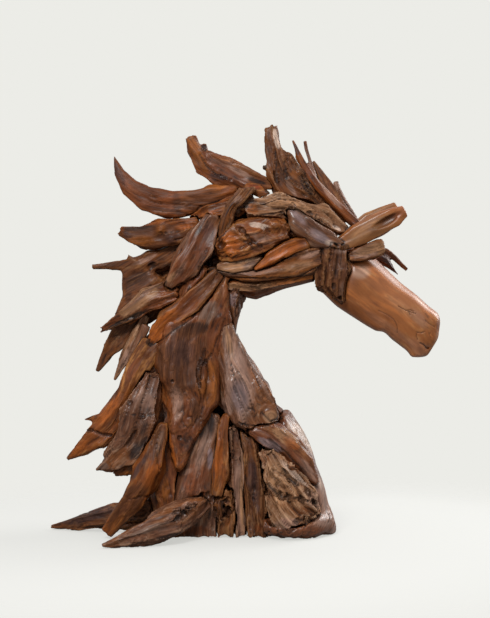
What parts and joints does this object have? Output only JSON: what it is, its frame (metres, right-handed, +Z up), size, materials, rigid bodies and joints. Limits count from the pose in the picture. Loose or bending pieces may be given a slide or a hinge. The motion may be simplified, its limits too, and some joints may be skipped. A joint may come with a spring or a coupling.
{
  "type": "driftwood horse head sculpture",
  "caption": "Standing horse head and neck put together from pieces of driftwood root, with a polished muzzle, a flying mane of spikes and a flat-cut root base.",
  "frame": {"origin": "on the floor, at the middle of the bust's box", "axes": "+Z up, +X from the mane to the muzzle, -Y is the show side"},
  "size_m": [0.9571, 0.3841, 0.9984],
  "materials": {
    "polished": "hand-polished and lacquered",
    "heartwood": "weathered, lacquered",
    "russet": "weathered, lacquered",
    "umber": "weathered, dark stained, lacquered",
    "plum": "weathered, dark stained, lacquered",
    "pale": "rough gouged, thin lacquer"
  },
  "bodies": {
    "root": {"ear_near": "polished", "brow_near": "umber", "cheek_near": "umber", "temple_near": "plum", "poll_bar": "pale", "cheek_strip": "heartwood", "cheek_burl": "heartwood", "cheek_leaf": "pale", "jaw_mid": "umber", "jaw_low": "russet", "brow_far": "russet", "ear_far": "polished", "cheek_far": "umber", "muzzle": "polished", "crown_far": "russet", "jaw_far": "umber", "forelock_fork": "russet", "forelock_dark": "umber", "forelock_pale": "plum", "crest_spike": "umber", "mane_hand": "russet", "crest_knot": "heartwood", "mane_horn": "russet", "root_twist": "umber", "neck_plate": "plum", "mane_stub": "heartwood", "mane_chip": "heartwood", "mane_wedge": "russet", "mane_wing": "umber", "mane_spike": "umber", "mane_sliver": "plum", "mane_pale": "pale", "mane_chunk": "plum", "mane_barb": "heartwood", "mane_heel": "heartwood", "mane_under": "russet", "floor_spike": "umber", "neck_strip": "heartwood", "neck_trunk": "russet", "throat": "plum", "shoulder_knot": "russet", "chest_plate": "plum", "rough_block": "pale", "chest_ridge": "russet", "chest_front": "russet", "foot_root": "plum", "foot_plate": "plum", "base_strip": "heartwood", "base_rough": "umber", "base_column_pale": "plum", "base_column_dark": "umber", "base_left": "russet", "neck_plate_far": "plum", "neck_far": "russet", "mane_far_high": "umber", "mane_far_middle": "heartwood", "mane_far_low": "plum", "chest_far": "plum", "base_far_middle": "russet", "base_far_left": "umber"}
  },
  "joints": []
}
